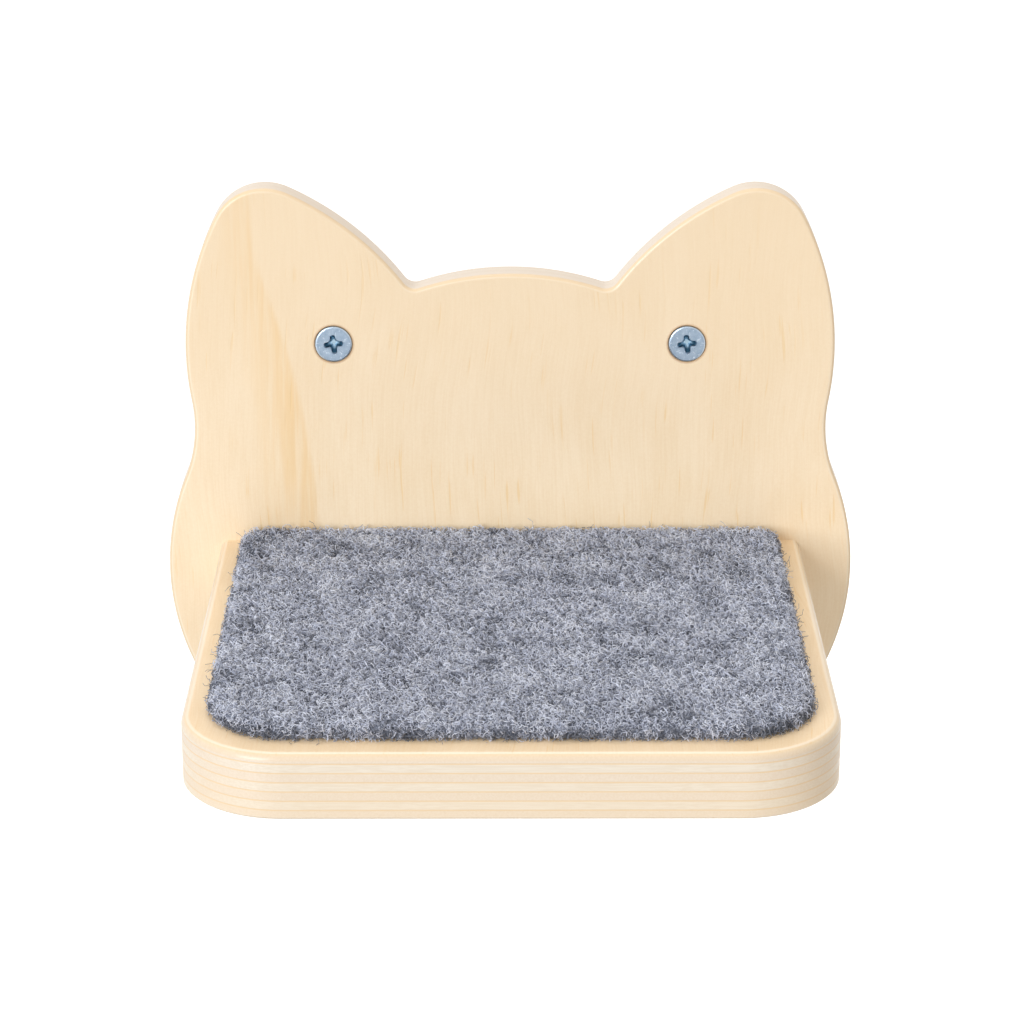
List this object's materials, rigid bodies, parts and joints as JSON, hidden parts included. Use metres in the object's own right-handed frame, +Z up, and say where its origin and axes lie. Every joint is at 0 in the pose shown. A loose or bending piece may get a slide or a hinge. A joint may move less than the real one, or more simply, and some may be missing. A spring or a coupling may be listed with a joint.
{
  "type": "cat wall shelf",
  "caption": "Wall-mounted cat step: a plywood shelf with rounded front corners and a carpet pad, standing out from an upright plywood back plate cut in the outline of a cat's head.",
  "frame": {"origin": "on the wall plane, midway between the two wall screws", "axes": "+X across the back plate, to the right as seen from the front; +Y into the wall; +Z up"},
  "size_m": [0.2034, 0.2046, 0.1911],
  "materials": {
    "plywood_plate": "clear satin lacquer on pale plywood, upright grain",
    "plywood_board": "clear satin lacquer on pale plywood, seven plies showing at the edge",
    "carpet": "mottled grey-blue felted pile",
    "adhesive": "double-sided adhesive sheet",
    "zinc_steel": "bright zinc plate",
    "beech": "bare beech dowel"
  },
  "bodies": {
    "root": {"back_plate": "plywood_plate", "shelf_board": "plywood_board", "carpet_pad": "carpet", "pad_adhesive": "adhesive", "wall_screw_left": "zinc_steel", "wall_screw_right": "zinc_steel", "joint_screw_left": "zinc_steel", "joint_screw_centre": "zinc_steel", "joint_screw_right": "zinc_steel", "dowel_left": "beech", "dowel_right": "beech"}
  },
  "joints": []
}
